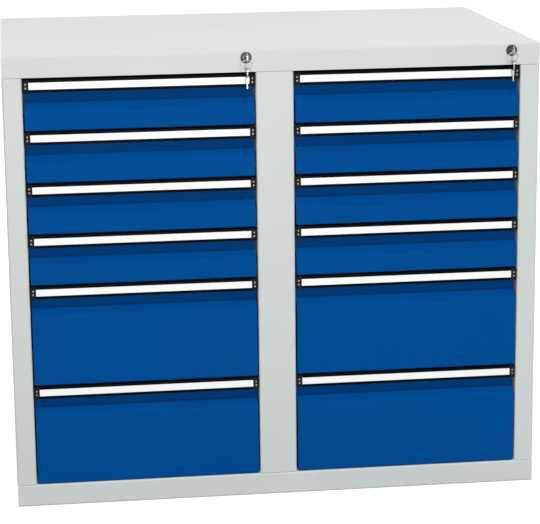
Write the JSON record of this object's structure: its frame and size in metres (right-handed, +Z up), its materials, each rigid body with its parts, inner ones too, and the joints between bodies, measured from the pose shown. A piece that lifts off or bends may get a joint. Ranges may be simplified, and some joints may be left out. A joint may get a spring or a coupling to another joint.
{
  "type": "multi-drawer cabinet",
  "caption": "Grey steel workshop cabinet with side-by-side columns of blue drawers on runners, black handle rails with label strips, and a keyed central lock over each column.",
  "frame": {"origin": "on the floor, under the middle of the cabinet's base", "axes": "+X to the right seen from the front, +Y from the front to the back, +Z up"},
  "size_m": [0.93, 0.621, 0.8],
  "materials": {
    "housing_paint": "light grey powder coat, fine orange peel, satin",
    "front_paint": "blue powder coat, satin",
    "tray_paint": "light grey powder coat, satin",
    "handle_plastic": "black moulded rail, satin, with a white paper label strip",
    "bare_steel": "zinc-plated steel",
    "lock_metal": "nickel-plated cylinder lock",
    "key_metal": "nickel-plated keys and ring"
  },
  "bodies": {
    "housing": {"top_cover": "housing_paint", "left_side_panel": "housing_paint", "right_side_panel": "housing_paint", "centre_partition": "housing_paint", "base_panel": "housing_paint", "floor_channel": "housing_paint", "back_panel": "housing_paint", "rear_uprights": "housing_paint", "lock_clips": "bare_steel", "left_column_rails": "bare_steel", "right_column_rails": "bare_steel", "left_lock_housing": "lock_metal", "right_lock_housing": "lock_metal"},
    "left_lock": {"left_lock_plug": "lock_metal", "left_key": "key_metal"},
    "left_key_ring": {"left_key_ring": "key_metal"},
    "left_spare_key": {"left_spare_key": "key_metal"},
    "left_locking_bar": {"left_locking_bar": "bare_steel"},
    "left_drawer_1": {"left_drawer_1_tray": "tray_paint", "left_drawer_1_front": "front_paint", "left_drawer_1_handle": "handle_plastic"},
    "left_drawer_2": {"left_drawer_2_tray": "tray_paint", "left_drawer_2_front": "front_paint", "left_drawer_2_handle": "handle_plastic"},
    "left_drawer_3": {"left_drawer_3_tray": "tray_paint", "left_drawer_3_front": "front_paint", "left_drawer_3_handle": "handle_plastic"},
    "left_drawer_4": {"left_drawer_4_tray": "tray_paint", "left_drawer_4_front": "front_paint", "left_drawer_4_handle": "handle_plastic"},
    "left_drawer_5": {"left_drawer_5_tray": "tray_paint", "left_drawer_5_front": "front_paint", "left_drawer_5_handle": "handle_plastic"},
    "left_drawer_6": {"left_drawer_6_tray": "tray_paint", "left_drawer_6_front": "front_paint", "left_drawer_6_handle": "handle_plastic"},
    "right_lock": {"right_lock_plug": "lock_metal", "right_key": "key_metal"},
    "right_key_ring": {"right_key_ring": "key_metal"},
    "right_spare_key": {"right_spare_key": "key_metal"},
    "right_locking_bar": {"right_locking_bar": "bare_steel"},
    "right_drawer_1": {"right_drawer_1_tray": "tray_paint", "right_drawer_1_front": "front_paint", "right_drawer_1_handle": "handle_plastic"},
    "right_drawer_2": {"right_drawer_2_tray": "tray_paint", "right_drawer_2_front": "front_paint", "right_drawer_2_handle": "handle_plastic"},
    "right_drawer_3": {"right_drawer_3_tray": "tray_paint", "right_drawer_3_front": "front_paint", "right_drawer_3_handle": "handle_plastic"},
    "right_drawer_4": {"right_drawer_4_tray": "tray_paint", "right_drawer_4_front": "front_paint", "right_drawer_4_handle": "handle_plastic"},
    "right_drawer_5": {"right_drawer_5_tray": "tray_paint", "right_drawer_5_front": "front_paint", "right_drawer_5_handle": "handle_plastic"},
    "right_drawer_6": {"right_drawer_6_tray": "tray_paint", "right_drawer_6_front": "front_paint", "right_drawer_6_handle": "handle_plastic"}
  },
  "joints": [
    {"name": "left_lock_turn", "type": "hinge", "parent": "housing", "child": "left_lock", "pos_m": [-0.049, -0.3, 0.7875], "axis": [0, 1, 0], "range_deg": [0, 90]},
    {"name": "left_bar_slide", "type": "slide", "parent": "housing", "child": "left_locking_bar", "axis": [0, 0, -1], "range_m": [0, 0.008]},
    {"name": "left_ring_hang", "type": "hinge", "parent": "left_lock", "child": "left_key_ring", "pos_m": [-0.049, -0.3125, 0.78125], "axis": [0, 1, 0], "range_deg": [-90, 0]},
    {"name": "left_spare_swing", "type": "hinge", "parent": "left_key_ring", "child": "left_spare_key", "pos_m": [-0.049, -0.3125, 0.76531], "axis": [-1, 0, 0], "range_deg": [-8, 90]},
    {"name": "left_drawer_1_slide", "type": "slide", "parent": "housing", "child": "left_drawer_1", "axis": [0, -1, 0], "range_m": [0, 0.42]},
    {"name": "left_drawer_2_slide", "type": "slide", "parent": "housing", "child": "left_drawer_2", "axis": [0, -1, 0], "range_m": [0, 0.42]},
    {"name": "left_drawer_3_slide", "type": "slide", "parent": "housing", "child": "left_drawer_3", "axis": [0, -1, 0], "range_m": [0, 0.42]},
    {"name": "left_drawer_4_slide", "type": "slide", "parent": "housing", "child": "left_drawer_4", "axis": [0, -1, 0], "range_m": [0, 0.42]},
    {"name": "left_drawer_5_slide", "type": "slide", "parent": "housing", "child": "left_drawer_5", "axis": [0, -1, 0], "range_m": [0, 0.42]},
    {"name": "left_drawer_6_slide", "type": "slide", "parent": "housing", "child": "left_drawer_6", "axis": [0, -1, 0], "range_m": [0, 0.42]},
    {"name": "right_lock_turn", "type": "hinge", "parent": "housing", "child": "right_lock", "pos_m": [0.415, -0.3, 0.7875], "axis": [0, 1, 0], "range_deg": [0, 90]},
    {"name": "right_bar_slide", "type": "slide", "parent": "housing", "child": "right_locking_bar", "axis": [0, 0, -1], "range_m": [0, 0.008]},
    {"name": "right_ring_hang", "type": "hinge", "parent": "right_lock", "child": "right_key_ring", "pos_m": [0.415, -0.3125, 0.78125], "axis": [0, 1, 0], "range_deg": [-90, 0]},
    {"name": "right_spare_swing", "type": "hinge", "parent": "right_key_ring", "child": "right_spare_key", "pos_m": [0.415, -0.3125, 0.76531], "axis": [-1, 0, 0], "range_deg": [-8, 90]},
    {"name": "right_drawer_1_slide", "type": "slide", "parent": "housing", "child": "right_drawer_1", "axis": [0, -1, 0], "range_m": [0, 0.42]},
    {"name": "right_drawer_2_slide", "type": "slide", "parent": "housing", "child": "right_drawer_2", "axis": [0, -1, 0], "range_m": [0, 0.42]},
    {"name": "right_drawer_3_slide", "type": "slide", "parent": "housing", "child": "right_drawer_3", "axis": [0, -1, 0], "range_m": [0, 0.42]},
    {"name": "right_drawer_4_slide", "type": "slide", "parent": "housing", "child": "right_drawer_4", "axis": [0, -1, 0], "range_m": [0, 0.42]},
    {"name": "right_drawer_5_slide", "type": "slide", "parent": "housing", "child": "right_drawer_5", "axis": [0, -1, 0], "range_m": [0, 0.42]},
    {"name": "right_drawer_6_slide", "type": "slide", "parent": "housing", "child": "right_drawer_6", "axis": [0, -1, 0], "range_m": [0, 0.42]}
  ],
  "couplings": [
    {"joint": "left_lock_turn", "follows": "left_bar_slide", "rad_per_m": 196.35},
    {"joint": "left_ring_hang", "follows": "left_bar_slide", "rad_per_m": -196.35},
    {"joint": "right_lock_turn", "follows": "right_bar_slide", "rad_per_m": 196.35},
    {"joint": "right_ring_hang", "follows": "right_bar_slide", "rad_per_m": -196.35}
  ]
}
